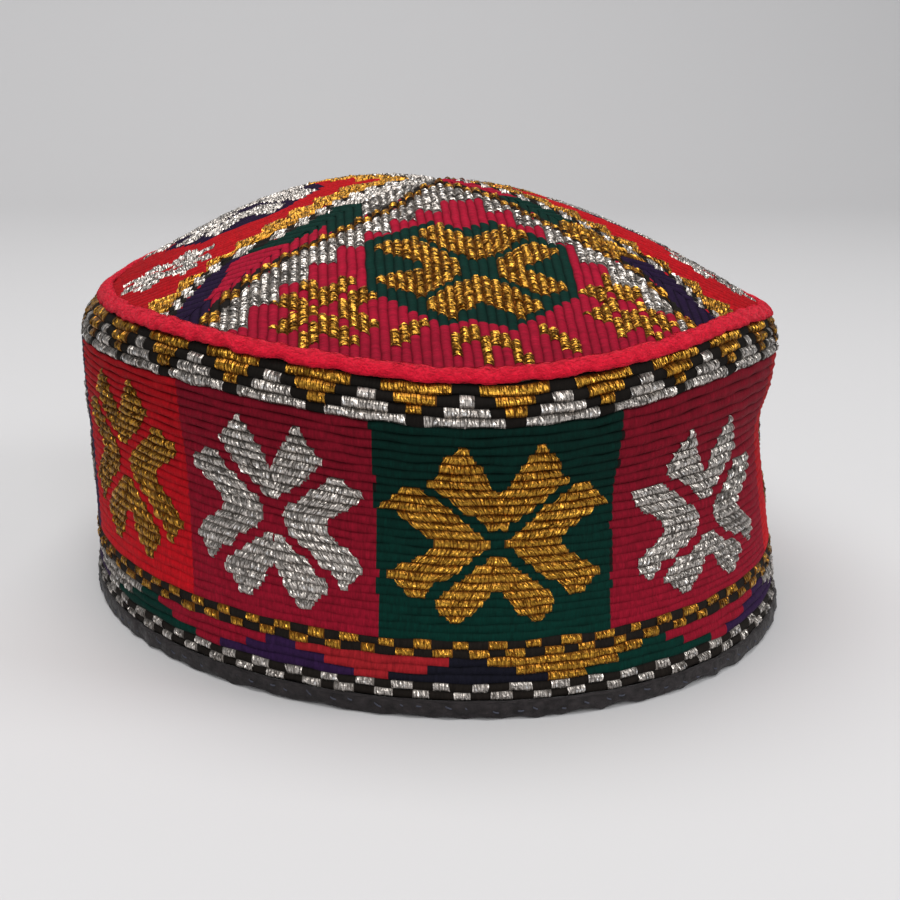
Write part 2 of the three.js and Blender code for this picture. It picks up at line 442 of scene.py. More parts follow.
def panel_runs():
    runs = []
    for number, (top, bottom, _, _, _, ground, _) in enumerate(PANELS):
        next_top, next_bottom = PANELS[(number + 1) % len(PANELS)][:2]
        turn = 360 if number == len(PANELS) - 1 else 0
        for rib in range(PANEL_RIBS):
            share = rib / (PANEL_RIBS - 1)
            start = top + (bottom - top) * share
            end = next_top + (next_bottom - next_top) * share + turn
            runs.append((TOP_RIBS + rib, start, end, ground))
    for _, _, middle, width, star_first, ground, metal in PANELS:
        chart = STAR if ground == "green" else OPEN_STAR
        ribs = STAR_LAST_RIB - star_first + 1
        runs += star_runs(chart, TOP_RIBS + star_first, ribs, middle, width / 2, metal)
    return runs


def bottom_border_runs():
    first = TOP_RIBS + PANEL_RIBS
    runs = [(rib, 0, 360, "black") for rib in range(first, BAND_RIBS)]
    for row, repeats, start, metal in CHAINS:
        step = 360 / repeats
        half = CHAIN_SHARE * step / 2
        for repeat in range(repeats):
            for lower in (0, 1):
                middle = start + (repeat + lower / 2) * step
                runs.append((first + row + lower, middle - half, middle + half, metal))
    step = 360 / len(WAVES)
    for number, (_, upright) in enumerate(WAVES):
        middle = WAVE_FIRST + number * step
        runs += [(first + row, middle, middle + step, upright) for row, _ in WAVE_ROWS]
    for number, (inverted, _) in enumerate(WAVES):
        middle = WAVE_FIRST + number * step
        for row, width in WAVE_ROWS:
            runs.append((first + row, middle - width / 2, middle + width / 2, inverted))
    return runs


RUN_JITTER = 0.22
CHAIN_JITTER = 0.4


def uneven(runs, size):
    """The same runs with their ends a little out of line, as hand stitching has them."""
    moved = []
    for rib, start, end, thread, *leans in runs:
        low, high = rng.uniform(-size, size, 2)
        moved.append((rib, start + low, end + high, thread, *(leans or (0.0, 0.0))))
    return moved


# Materials

NOISE_RANGE = (0.3, 0.7)


def set_sockets(node, values):
    for socket, value in values.items():
        node.inputs[socket].default_value = value


def new_material(name, values):
    material = bpy.data.materials.new(name)
    material.use_nodes = True
    shader = material.node_tree.nodes["Principled BSDF"]
    set_sockets(shader, values)
    return material, material.node_tree, shader


def link(tree, source, output, target, socket):
    tree.links.new(source.outputs[output], target.inputs[socket])


def thread_noise(tree, stretch, scale, detail):
    """Noise on the flat map of the threads, stretched along them."""
    place = tree.nodes.new("ShaderNodeUVMap")
    place.uv_map = "Threads"
    mapping = tree.nodes.new("ShaderNodeMapping")
    set_sockets(mapping, {"Scale": (*stretch, 1)})
    noise = tree.nodes.new("ShaderNodeTexNoise")
    set_sockets(noise, {"Scale": scale, "Detail": detail})
    link(tree, place, "UV", mapping, "Vector")
    link(tree, mapping, "Vector", noise, "Vector")
    return noise


def add_bump(tree, shader, height, strength, distance):
    bump = tree.nodes.new("ShaderNodeBump")
    set_sockets(bump, {"Strength": strength, "Distance": distance})
    link(tree, height, "Fac", bump, "Height")
    link(tree, bump, "Normal", shader, "Normal")


def tint(tree, base, noise, dark, light):
    """Colour made darker or lighter by a noise."""
    ramp = tree.nodes.new("ShaderNodeMapRange")
    low, high = NOISE_RANGE
    set_sockets(ramp, {"From Min": low, "From Max": high, "To Min": dark, "To Max": light})
    link(tree, noise, "Fac", ramp, "Value")
    scale = tree.nodes.new("ShaderNodeVectorMath")
    scale.operation = "SCALE"
    link(tree, base, "Color", scale, "Vector")
    link(tree, ramp, "Result", scale, "Scale")
    return scale


def thread_color(tree):
    node = tree.nodes.new("ShaderNodeAttribute")
    node.attribute_name = "Thread"
    return node


def cloth_material(name, grain, shades, bump, values):
    """Matte thread or cloth: stretch, scale and detail of its grain, shades and relief."""
    material, tree, shader = new_material(name, values)
    noise = thread_noise(tree, *grain)
    color = tint(tree, thread_color(tree), noise, *shades)
    link(tree, color, "Vector", shader, "Base Color")
    add_bump(tree, shader, noise, *bump)
    return material


def metal_thread_material():
    """Flat metal-wound thread that glitters."""
    material, tree, shader = new_material("metal_thread", {"Metallic": 0.95, "Roughness": 0.31})
    link(tree, thread_color(tree), "Color", shader, "Base Color")
    return material


cotton = cloth_material("embroidery_thread", ((2.4, 1.2), 1.0, 3.0), (0.78, 1.2), (0.5, 0.00025),
                        {"Roughness": 0.75, "Specular IOR Level": 0.08})
metal = metal_thread_material()
wool = cloth_material("welt_wool", ((1.0, 1.0), 1.3, 8.0), (0.7, 1.25), (0.6, 0.0006),
                      {"Roughness": 0.9, "Specular IOR Level": 0.15,
                       "Sheen Weight": 0.05, "Sheen Roughness": 0.6})
tape = cloth_material("hem_tape", ((0.45, 0.6), 1.0, 6.0), (0.45, 1.6), (0.8, 0.0007),
                      {"Roughness": 0.85, "Specular IOR Level": 0.25, "Sheen Weight": 0.1})

INSIDE = linear((196, 184, 164))
# The crown's backing cloth, darkened as painted shade where it shows in the grooves between the
# cords
SHADED_BACKING_COLOR = linear((58, 18, 24))
SHADED_CUT_EDGE = linear((30, 22, 22))
# Painted shade on the cut top and bottom of each ring of band ribs, dark as the gap under the welt
WELT_COLOR = linear((188, 9, 40))
TAPE_COLOR = linear((36, 32, 33))
TAPE_STITCH_COLOR = linear((70, 72, 82))


# Side band

band_pitches = np.concatenate([np.full(count, pitch) for _, count, pitch in BAND_GROUPS])
band_edges = np.concatenate(((0.0,), np.cumsum(band_pitches))) / band_pitches.sum()
band_wave = Wobble(BAND_RIBS + 1, 9, 60, 0.11)
band_crest = Wobble(BAND_RIBS, 12, 90, 0.06)
band_groove = Wobble(BAND_RIBS + 1, 8, 70, 0.2)


def rib_sink(share):
    """How far a rib's surface lies below its crest, across the rib."""
    return RIB_DEPTH * np.abs(2 * share - 1) ** RIB_POWER


def groove_size(edge, azimuth):
    size = np.interp(edge, GROOVE_RIBS, GROOVE_SIZE)
    return size * (1 + band_groove(edge, azimuth))


def band_edge_height(edge, azimuth):
    top = band_top(azimuth)
    level = top + (HEM_TOP - top) * band_edges[edge] + band_wave(edge, azimuth)
    level = level + humps_at(FRONT_LIFT, azimuth) * np.interp(edge, LIFT_RIBS, (1, 0))
    share = np.clip((edge - TOP_RIBS) / PANEL_RIBS, 0, 1)
    return level - humps_at(RIB_SAGS, azimuth) * np.sin(math.pi * share)


def band_point(rib, share, azimuth):
    """Point on a rib of the band, at a share of its width from its upper groove."""
    upper = band_edge_height(rib, azimuth)
    lower = band_edge_height(rib + 1, azimuth)
    height = upper + (lower - upper) * share
    round_off = (1 - np.abs(2 * share - 1)) * band_crest(rib, azimuth)
    groove = groove_size(rib + (share > 0.5), azimuth)
    radius = wall_at(height, azimuth) - rib_sink(share) * groove + round_off
    return round_points(radius, azimuth, height)


def paint_band(runs):
    """Thread number of each rib, quad across it and column."""
    painted = np.zeros((BAND_RIBS, len(QUAD_SHARES), BAND_COLUMNS), int)
    step = 360 / BAND_COLUMNS
    for rib, start, end, thread, start_lean, end_lean in runs:
        for quad, share in enumerate(QUAD_SHARES - 0.5):
            low = math.ceil((start + start_lean * share) / step - 0.5)
            high = math.ceil((end + end_lean * share) / step - 0.5)
            painted[rib, quad, np.arange(low, high) % BAND_COLUMNS] = THREAD_NAMES.index(thread)
    return painted


THREAD_UNEVEN = 0.07


def make_band_group(name, first, count, painted):
    """A closed ring of ribs with a smooth inside."""
    azimuth = ring_angles(BAND_COLUMNS)
    rib = np.repeat(np.arange(first, first + count), len(RIB_STEPS))
    share = np.tile(RIB_STEPS, count)
    rib = np.append(rib, first + count - 1)[:, None]
    share = np.append(share, 1.0)[:, None]
    outer = band_point(rib, share, azimuth[None, :])
    low = outer[-1, :, 2]
    high = outer[0, :, 2]
    rise = np.linspace(0, 1, INNER_ROWS)[:, None]
    height = low + (high - low) * rise
    inner = round_points(wall_at(height, azimuth) - BAND_THICKNESS, azimuth + 0 * height, height)
    points = np.concatenate((outer, inner))
    rows = len(points)
    piece = make_object(name, points.reshape(-1, 3), ring_faces(rows, BAND_COLUMNS), cotton,
                        ("side_band",))

    row, column = grid_corners(rows, BAND_COLUMNS)
    # Painted shade in the grooves between the ribs
    shade = np.ones((rows + 1, BAND_COLUMNS))
    darkness = 1 - np.append(np.tile(RIB_SHADE, count), RIB_SHADE[0])[:, None]
    shade[:len(share)] -= darkness * groove_size(rib + (share > 0.5), azimuth[None, :])
    face_row = np.arange(rows).repeat(BAND_COLUMNS)
    face_column = np.tile(np.arange(BAND_COLUMNS), rows)
    outside = face_row < len(share) - 1
    face_rib = first + np.minimum(face_row // len(RIB_STEPS), count - 1)
    patch = rng.normal(1, THREAD_UNEVEN, (BAND_RIBS, BAND_COLUMNS))
    face_color = THREAD_COLORS[painted[face_rib, face_row % len(QUAD_SHARES), face_column]]
    # Painted shade on the upper ribs and painted light on the lower ones
    brightness_ramp = np.interp(face_rib, BAND_SHADING_RIBS, BAND_SHADING_SIZE)
    face_color = face_color * (patch[face_rib, face_column] * brightness_ramp)[:, None]
    corner_color = face_color[:, None, :] * shade[row, column % BAND_COLUMNS][:, :, None]
    corner_color[~outside] = INSIDE
    # Painted shade on the cut edges
    corner_color[(face_row == len(share) - 1) | (face_row == rows - 1)] = SHADED_CUT_EDGE
    along = column * TURN / BAND_COLUMNS * WALL_SECTIONS[0, 1]
    across = np.append(np.append(rib[:, 0] + share[:, 0], np.arange(1, INNER_ROWS + 1)), 0)[row]
    dress(piece, corner_color.reshape(-1, 3), np.stack((along, across), -1),
          np.stack((column / BAND_COLUMNS, row / rows), -1))
    smooth_ribs(piece, RIB_SHARP)


# Stitches of metal thread over the ribs

BAND_PITCH = 0.32
CROWN_PITCH = 0.34
STITCH_STEPS = 4
# Points along a stitch, as shares of the rib's width
STITCH_SHARES = np.linspace(0.03, 0.97, STITCH_STEPS + 1)
STITCH_WIDTHS = (0.95, 1.3)
STITCH_LIFT = 0.06
STITCH_CREST = 0.16
STITCH_SLANT = 0.28
STITCH_LEAN = 0.4
STITCH_STRAY = 0.4
STITCH_TILT = 0.08
STITCH_TWIST = 0.18
# How seldom a stitch tilts or twists far: degrees of freedom of the draw
TILT_FREEDOM = 3
STITCH_GRAIN = 0.05
# Random shades of whole stitches and of places along them, and how the painted highlight of the
# crest fades from it
STITCH_SHADES = (0.8, 1.1)
PLACE_SHADES = (0.55, 1.15)
CREST_POWER = 0.9
# Painted glints, bright specks: their share of the thread and their brightness
GLINT_SHARE = 0.08
GLINT = 1.75


def make_stitches(name, lines, along, outward, pitch, metal_name):
    """Narrow strips laid across the ribs: lines of points, the way along the rib and outward."""
    count, steps = lines.shape[:2]
    width = pitch * rng.uniform(*STITCH_WIDTHS, (count, 1, 1)) / 2
    tilt = STITCH_TILT * rng.standard_t(TILT_FREEDOM, (count, 1, 1))
    tilt = np.clip(tilt + STITCH_TWIST * rng.standard_t(TILT_FREEDOM, (count, steps, 1)), -1, 1)
    side = along[:, None, :] * np.cos(tilt) + outward[:, None, :] * np.sin(tilt)
    bow = (1 - (2 * STITCH_SHARES - 1) ** 2)[None, :, None]
    lift = STITCH_LIFT + width * np.abs(np.sin(tilt)) + STITCH_CREST * bow
    raised = lines + outward[:, None, :] * lift
    points = np.stack((raised - side * width, raised + side * width), 2)
    grain = rng.normal(0, STITCH_GRAIN, points.shape[:3])
    points = points + outward[:, None, None, :] * grain[..., None]
    piece, quad = make_strips(name, points, metal)
    crest, foot = METALS[metal_name]
    shade = rng.uniform(*STITCH_SHADES, (count, 1)) * rng.uniform(*PLACE_SHADES, (count, steps))
    # Painted glints: a few places along the stitches made bright
    shade = np.where(rng.uniform(0, 1, (count, steps)) < GLINT_SHARE, GLINT, shade)
    # Painted highlight at the crest of each stitch, fading to painted shade at its feet
    near_crest = ((1 - np.abs(2 * STITCH_SHARES - 1)) ** CREST_POWER)[:, None]
    colors = ((foot + (crest - foot) * near_crest)[None] * shade[..., None])[:, quad // 2]
    set_colors(piece, np.minimum(colors, 1).reshape(-1, 3))
    set_strip_map(piece, count, quad)


def stitch_places(runs, pitch):
    """Rib, place along it and lean across it of each stitch of the runs."""
    ribs = []
    places = []
    leans = []
    for rib, start, end, _, start_lean, end_lean in runs:
        count = max(1, round((end - start) / pitch))
        share = (np.arange(count) + 0.5 + rng.normal(0, STITCH_STRAY, count)) / count
        ribs.append(np.full(count, rib))
        places.append(start + (end - start) * share)
        leans.append(start_lean + (end_lean - start_lean) * share)
    return np.concatenate(ribs), np.concatenate(places), np.concatenate(leans)


def band_stitches(name, runs, metal_name):
    mean_radius = WALL_SECTIONS[3, 1]
    degree = TURN / 360
    rib, place, lean = stitch_places(runs, BAND_PITCH / (mean_radius * degree))
    azimuth = place * degree
    slant = STITCH_SLANT * rng.normal(STITCH_LEAN, 1, len(rib)) / mean_radius + lean * degree
    share = STITCH_SHARES[None, :]
    lines = band_point(rib[:, None], share, azimuth[:, None] + slant[:, None] * (share - 0.5))
    along = np.stack((np.cos(azimuth), np.sin(azimuth), 0 * azimuth), -1)
    outward = round_points(1, azimuth, 0 * azimuth)
    make_stitches(name, lines, along, outward, BAND_PITCH, metal_name)


def of_metal(runs, name):
    return [run for run in runs if run[3] == name]


top_runs = uneven(top_border_runs(), RUN_JITTER)
field_runs = uneven(panel_runs(), RUN_JITTER)
bottom_runs = uneven(bottom_border_runs(), CHAIN_JITTER)
painted_band = paint_band(top_runs + field_runs + bottom_runs)
first_rib = 0
for group_name, group_count, _ in BAND_GROUPS:
    make_band_group(group_name, first_rib, group_count, painted_band)
    first_rib += group_count
for metal_name in METALS:
    band_stitches("band_%s_stars" % metal_name, of_metal(field_runs, metal_name), metal_name)
    borders = of_metal(top_runs, metal_name) + of_metal(bottom_runs, metal_name)
    band_stitches("band_%s_borders" % metal_name, borders, metal_name)


# Crown gores

# Threads of a gore: field, rosette, stars and dotted lines, and the steps along its seams
FRONT_BACK = {"field": "magenta", "rosette": "green", "star": "gold", "steps": "silver"}
SIDES = {"field": "scarlet", "rosette": "violet", "star": "silver", "steps": "gold"}

# Blocks of colour along each seam, from the apex outward: end of the block, and its thread
FAR_OUT = 200
LEFT_SEAM = ((28, "silver"), (54, "green"), (FAR_OUT, "violet"))
RIGHT_SEAM = ((20, "magenta"), (39, "green"), (57, "gold"), (FAR_OUT, "violet"))

# Dotted lines along the seams: distance from the apex along the seam, and where the line starts
# and ends square to the seam
FRONT_LEFT_DOTS = (
    (10, 2.0, 4.5), (20, 5.5, 8.2), (30, 6.2, 9.3), (40, 6.0, 8.8), (50, 5.0, 7.8),
    (60, 2.8, 6.0), (70, 1.4, 5.2), (80, 2.3, 6.5), (86, 4.5, 8.5),
)
FRONT_RIGHT_DOTS = (
    (20, 0.7, 3.7), (30, 2.5, 5.0), (40, 3.3, 5.5), (50, 3.6, 6.0), (60, 1.6, 4.3),
    (66, 1.6, 4.3), (70, 2.8, 5.5), (75, 4.5, 7.3), (80, 6.8, 9.4), (86, 9.0, 12.0),
)
LEFT_FRONT_DOTS = (
    (10, 4.0, 6.8), (20, 4.6, 7.6), (30, 4.2, 7.6), (40, 3.4, 7.0), (50, 4.6, 8.0),
    (55, 5.8, 9.2), (60, 7.8, 11.2), (65, 9.0, 12.4), (70, 9.0, 12.4), (75, 7.8, 11.4),
    (80, 6.4, 9.8), (86, 4.0, 7.2),
)
RIGHT_FRONT_DOTS = (
    (20, 2.5, 5.0), (55, 3.5, 6.0), (62, 4.5, 7.0), (70, 5.0, 7.5), (76, 2.2, 4.8),
    (80, 0.5, 3.0), (86, 0.0, 2.0),
)
# Borders: dotted line, where the steps end at the middle of the gore along a rib, and how much
# further out each group of ribs ends
FRONT_LEFT = (FRONT_LEFT_DOTS, 17.0, 6.6)
FRONT_RIGHT = (FRONT_RIGHT_DOTS, 17.0, 7.6)
LEFT_FRONT = (LEFT_FRONT_DOTS, 25.5, 6.4)
RIGHT_FRONT = (RIGHT_FRONT_DOTS, 14.8, 6.4)
SQUARE = math.sqrt(2)
DOT_SHARE = 0.5
STEP_RIBS = 3
# How far the blocks go on under the seam
SEAM_UNDER = 1.5
STEP_CENTRE_RIBS = 2

# Gores: azimuth, threads, blocks and border at the left and the right, middle rib of the steps
# and of the rosette
CROWN_TURN = -4
GORES = (
    ("front", 0, FRONT_BACK, LEFT_SEAM, FRONT_LEFT, RIGHT_SEAM, FRONT_RIGHT, 30, 30),
    ("right", 90, SIDES, RIGHT_SEAM, RIGHT_FRONT, RIGHT_SEAM, RIGHT_FRONT, 28, 34),
    ("back", 180, FRONT_BACK, RIGHT_SEAM, FRONT_RIGHT, LEFT_SEAM, FRONT_LEFT, 26, 26),
    ("left", 270, SIDES, LEFT_SEAM, RIGHT_FRONT, LEFT_SEAM, LEFT_FRONT, 28, 21),
)

# A red band on both sides of the seam at the front left: from and to which rib, across from the
# middle of the gore, and the line that it starts or ends at
FRONT_RED = (29.0, 55.0, ((44, 2.0), (50, 1.0), (55, 0.0), (86, 0.0)))
LEFT_RED = (37.3, 56.0, (
    (57, 4.0), (60, 6.3), (65, 7.8), (68, 6.3), (70, 4.3), (75, 2.0), (80, 0.5),
))
SEAM_SLANT = 0.8

ROSETTE_OUT = 51.0
ROSETTE_RIBS = 22
# Half the rosette's length along a rib: at its notch, at its lobes and at its sides
ROSETTE_ACROSS = (0, 7.5, 23.5)
ROSETTE_HALVES = (18.5, 21.5, 10.0)
BIG_STAR_OUT = 50.3
BIG_STAR_RIBS = 20
BIG_STAR_HALF = 19.6

# Small stars near the rim: first rib from the middle, ribs, place out and half length
FRONT_STARS = ((-21, 11, 67.5, 12.8), (11, 10, 62.5, 11.5))
SIDE_STARS = ((-16, 10, 68.0, 12.2), (6, 10, 68.0, 12.2))
# Short slanted bits: rib from the middle, start and end
SMALL_BITS = (
    (-9, 74.5, 79.0), (-8, 72.5, 78.0), (-7, 71.0, 75.5), (-6, 70.5, 73.0),
    (6, 70.5, 73.5), (7, 71.5, 75.5), (8, 73.5, 78.0), (9, 75.5, 79.0),
    (-3, 74.5, 81.5), (-2, 72.6, 77.4), (-1, 72.0, 76.4), (0, 75.0, 83.5),
    (1, 73.6, 77.8), (2, 74.0, 78.4), (3, 76.2, 83.0), (4, 80.0, 84.0),
)

gore_wave = Wobble(GORE_COUNT * (GORE_RIBS + 1), 6, 34, 0.07)
gore_crest = Wobble(GORE_COUNT * GORE_RIBS, 8, 50, 0.08)


EDGE_ROUNDS = 8
RIB_SHORTEST = 0.1


class Gore:
    """A quarter of the crown, with places across and out from the apex along its middle line."""

    def __init__(self, number, azimuth):
        self.number = number
        self.turn = math.radians(azimuth)
        left = self.corner(-1)
        right = self.corner(1)
        self.edges = np.linspace(-left, right, GORE_RIBS + 1)

    def corner(self, side):
        azimuth = np.array(self.turn + side * math.pi / GORE_COUNT)
        return float(rim_radius(azimuth) - GORE_EDGE_INSET) / math.sqrt(2)

    def middle(self, rib):
        return (self.edges[rib] + self.edges[rib + 1]) / 2

    def edge_at(self, across):
        """Distance from the apex to the rim along a rib."""
        out = np.full_like(across, float(rim_radius(np.array(self.turn))))
        for _ in range(EDGE_ROUNDS):
            radius = rim_radius(self.turn + np.arctan2(across, out)) - GORE_EDGE_INSET
            out = np.sqrt(np.maximum(radius ** 2 - across ** 2, 1.0))
        return out

    def seam_at(self, across):
        return np.abs(across) + GORE_SEAM_GAP

    def span(self, across):
        """Where a rib starts at the seam and ends at the rim."""
        start = self.seam_at(across)
        return start, np.maximum(self.edge_at(across), start + RIB_SHORTEST)

    def place(self, across, out, sink):
        x = across * math.cos(self.turn) + out * math.sin(self.turn)
        y = across * math.sin(self.turn) - out * math.cos(self.turn)
        return np.stack((x, y, crown_height(x, y) - sink), -1)

    def across_at(self, rib, share, out):
        """Place across of a point on a rib, with the rib's unevenness."""
        along = out / CROWN_RISE
        lines = self.number * (GORE_RIBS + 1)
        start = self.edges[rib] + gore_wave(lines + rib, along)
        end = self.edges[rib + 1] + gore_wave(lines + rib + 1, along)
        return start + (end - start) * share

    def rib_point(self, rib, share, out):
        crest = gore_crest(self.number * GORE_RIBS + rib, out / CROWN_RISE)
        sink = GORE_GROOVE * rib_sink(share) - crest * (1 - np.abs(2 * share - 1))
        return self.place(self.across_at(rib, share, out), out, sink)


def rib_crossing(gore, rib, line, column):
    """Where a rib meets a line that is charted along a seam and square to it, and its lean."""
    chart = np.array(line)
    off = chart[:, column]
    across = np.abs((gore.edges[rib], gore.middle(rib), gore.edges[rib + 1]))
    out = across + np.interp(across, (chart[:, 0] - off) / SQUARE, off * SQUARE)
    return out[1], SEAM_SLANT * (out[2] - out[0])


def seam_runs(gore, threads, blocks, border, middle, ribs):
    """Steps, dotted line and blocks along one seam of a gore."""
    runs = []
    line, centre_end, step = border
    for rib in ribs:
        seam = abs(gore.middle(rib))
        group = math.ceil(max(abs(rib - middle) - STEP_CENTRE_RIBS, 0) / STEP_RIBS)
        dots, dots_lean = rib_crossing(gore, rib, line, 1)
        steps, steps_lean = rib_crossing(gore, rib, line, 2)
        runs.append((rib, steps, centre_end + step * group, threads["steps"], steps_lean, 0.0))
        runs.append((rib, dots, steps, "black", dots_lean, steps_lean))
        length = DOT_SHARE * (steps - dots)
        upper = dots + rib % 2 * length
        runs.append((rib, upper, upper + length, threads["star"], dots_lean / 2, dots_lean / 2))
        block = next(thread for end, thread in blocks if seam * SQUARE < end)
        runs.append((rib, seam - SEAM_UNDER, dots, block, 0.0, dots_lean))
        if border is FRONT_LEFT and FRONT_RED[0] < seam < FRONT_RED[1]:
            start, lean = rib_crossing(gore, rib, FRONT_RED[2], 1)
            runs.append((rib, start, dots, "magenta", lean, dots_lean))
        if border is LEFT_FRONT and LEFT_RED[0] < seam < LEFT_RED[1]:
            end, lean = rib_crossing(gore, rib, LEFT_RED[2], 1)
            runs.append((rib, seam - SEAM_UNDER, end, "magenta", 0.0, lean))
    return runs


def small_motifs(threads, middle_rib):
    """Small stars and bits near the rim."""
    star = threads["star"]
    if threads is SIDES:
        runs = []
        stars = SIDE_STARS
        middle_rib = GORE_RIBS // 2
    else:
        runs = [(middle_rib + rib, start, end, star) for rib, start, end in SMALL_BITS]
        stars = FRONT_STARS
    for first, ribs, out, half in stars:
        runs += star_runs(OPEN_STAR, middle_rib + first, ribs, out, half, star)
    return runs


def gore_runs(gore, threads, left, left_border, right, right_border, step_rib, middle_rib):
    star = threads["star"]
    runs = [(rib, 0, FAR_OUT, threads["field"]) for rib in range(GORE_RIBS)]
    runs += small_motifs(threads, middle_rib)
    middle = gore.edges[middle_rib]
    first = middle_rib - ROSETTE_RIBS // 2
    for rib in range(first, first + ROSETTE_RIBS):
        half = np.interp(abs(gore.middle(rib) - middle), ROSETTE_ACROSS, ROSETTE_HALVES)
        runs.append((rib, ROSETTE_OUT - half, ROSETTE_OUT + half, threads["rosette"]))
    first = middle_rib - BIG_STAR_RIBS // 2
    runs += star_runs(CROWN_STAR, first, BIG_STAR_RIBS, BIG_STAR_OUT, BIG_STAR_HALF, star)
    half = GORE_RIBS // 2
    runs += seam_runs(gore, threads, left, left_border, step_rib, range(half))
    runs += seam_runs(gore, threads, right, right_border, step_rib, range(half, GORE_RIBS))
    return runs


# The bake map: width of one side of a gore, where the other side starts, and its full length
BAKE_WIDTH = 0.48
BAKE_HALF = 0.5
BAKE_LENGTH = 100
END_SHADE = 0.5


def make_gore(gore, name, runs):
    """Cords side by side, each a closed half-round bar, on a thin curved backing."""
    points = []
    faces = []
    colors = []
    threads_map = []
    bake_map = []
    total = 0
    shares = np.append(RIB_STEPS, 1.0)
    shade = np.append(RIB_SHADE, RIB_SHADE[0])
    sides = len(shares)
    quad_shares = np.append(QUAD_SHARES - 0.5, 0.0)
    width = gore.edges[-1] - gore.edges[0]
    side_corners = np.arange(sides)[:, None] + np.array((0, 1, 1, 0))
    for rib in range(GORE_RIBS):
        edge_across = gore.edges[rib] + (gore.edges[rib + 1] - gore.edges[rib]) * shares
        start, end = gore.span(edge_across)
        rows = max(2, math.ceil(float((end - start).max()) / GORE_STEP))
        share_out = np.linspace(0, 1, rows + 1)[:, None]
        out = start + (end - start) * share_out
        line = gore.rib_point(rib, shares[None, :], out)
        points.append(line.reshape(-1, 3))

        middle_out = (out[:-1] + out[1:]).mean(1) / 2
        painted = np.zeros((rows, sides), int)
        for _, low, high, thread, low_lean, high_lean in (run for run in runs if run[0] == rib):
            from_out = low + low_lean * quad_shares
            to_out = high + high_lean * quad_shares
            at = middle_out[:, None]
            painted[(at >= from_out) & (at < to_out)] = THREAD_NAMES.index(thread)
        # Colours made darker towards the rim
        brightness_ramp = np.interp(middle_out, RIM_DARKENING_OUT, RIM_DARKENING_SIZE)[:, None, None]
        row_color = THREAD_COLORS[painted] * rng.normal(1, THREAD_UNEVEN, (rows, 1, 1)) * brightness_ramp

        row = np.arange(rows)[:, None, None] + np.array((0, 0, 1, 1))[None, None, :]
        side = np.broadcast_to(side_corners[None], (rows, sides, 4))
        row = np.broadcast_to(row, (rows, sides, 4))
        faces += (total + row * sides + side % sides).reshape(-1, 4).tolist()
        corner = row_color[:, :, None, :] * shade[side % sides][..., None]
        colors.append(corner.reshape(-1, 3))
        at_out = out[row, side % sides]
        at_across = edge_across[side % sides]
        threads_map.append(np.stack((at_out, rib + shares[side % sides]), -1).reshape(-1, 2))
        under = (np.arange(sides) == sides - 1)[None, :, None] * BAKE_HALF
        u = (at_across - gore.edges[0]) / width * BAKE_WIDTH + under
        bake_map.append(np.stack((u, at_out / BAKE_LENGTH), -1).reshape(-1, 2))
        for end_row, turn in ((0, 1), (rows, -1)):
            cap = total + end_row * sides + np.arange(sides)[::turn]
            faces.append(cap.tolist())
            colors.append(row_color[0] * END_SHADE)
            threads_map.append(np.zeros((sides, 2)))
            bake_map.append(np.zeros((sides, 2)))
        total += line.shape[0] * sides
    piece = make_object("gore_" + name, np.concatenate(points), faces, cotton,
                        ("crown_gore_" + name,))
    dress(piece, *(np.concatenate(group) for group in (colors, threads_map, bake_map)))
    smooth_ribs(piece, RIB_SHARP)


BACKING_COLUMNS = 40
BACKING_ROWS = 24
BACKING_SINK = RIB_DEPTH * 0.9


def make_backing(gore, name):
    """The cloth under the cords of a gore, a closed thin shell."""
    across = np.linspace(gore.edges[0], gore.edges[-1], BACKING_COLUMNS + 1)[:, None]
    start, end = gore.span(across)
    out = start + (end - start) * np.linspace(0, 1, BACKING_ROWS + 1)
    across = across + 0 * out
    upper = gore.place(across, out, BACKING_SINK)
    lower = gore.place(across, out, GORE_THICKNESS)
    size = (BACKING_ROWS + 1) * (BACKING_COLUMNS + 1)
    number = np.arange(size).reshape(BACKING_COLUMNS + 1, BACKING_ROWS + 1)
    quads = np.stack((number[:-1, :-1], number[:-1, 1:], number[1:, 1:], number[1:, :-1]), -1)
    faces = quads.reshape(-1, 4).tolist()
    faces += (quads[..., ::-1] + size).reshape(-1, 4).tolist()
    border = np.concatenate((number[0, :-1], number[:-1, -1], number[-1, :0:-1], number[:0:-1, 0]))
    following = np.roll(border, -1)
    faces += np.stack((border, border + size, following + size, following), -1).tolist()
    points = np.concatenate((upper.reshape(-1, 3), lower.reshape(-1, 3)))
    piece = make_object("gore_%s_backing" % name, points, faces, cotton)
    corners = np.array(faces).ravel()
    # Painted shade on top of the backing, plain lining colour below
    set_colors(piece, np.where((corners < size)[:, None], SHADED_BACKING_COLOR, INSIDE))
    flat = np.stack(((across - across.min()) / np.ptp(across), out / BAKE_LENGTH), -1)
    flat = flat.reshape(-1, 2) * (BAKE_WIDTH, 1)
    flat = np.concatenate((flat, flat + (BAKE_HALF, 0)))
    set_map(piece, "OFBake", flat[corners])
    set_map(piece, "Threads", flat[corners] * BAKE_LENGTH)
    smooth_ribs(piece, BACKING_SHARP)


def uncovered(runs):
    """The runs of one rib, cut back where later ones lie over them."""
    kept = []
    for number, (rib, start, end, thread, *leans) in enumerate(runs):
        parts = [(start, end, *leans)]
        for _, low, high, *_ in runs[number + 1:]:
            rest = []
            for first, last, first_lean, last_lean in parts:
                if high <= first or low >= last:
                    rest.append((first, last, first_lean, last_lean))
                    continue
                if low > first:
                    rest.append((first, low, first_lean, 0.0))
                if high < last:
                    rest.append((high, last, 0.0, last_lean))
            parts = rest
        kept += [(rib, first, last, thread, *part_leans) for first, last, *part_leans in parts]
    return kept


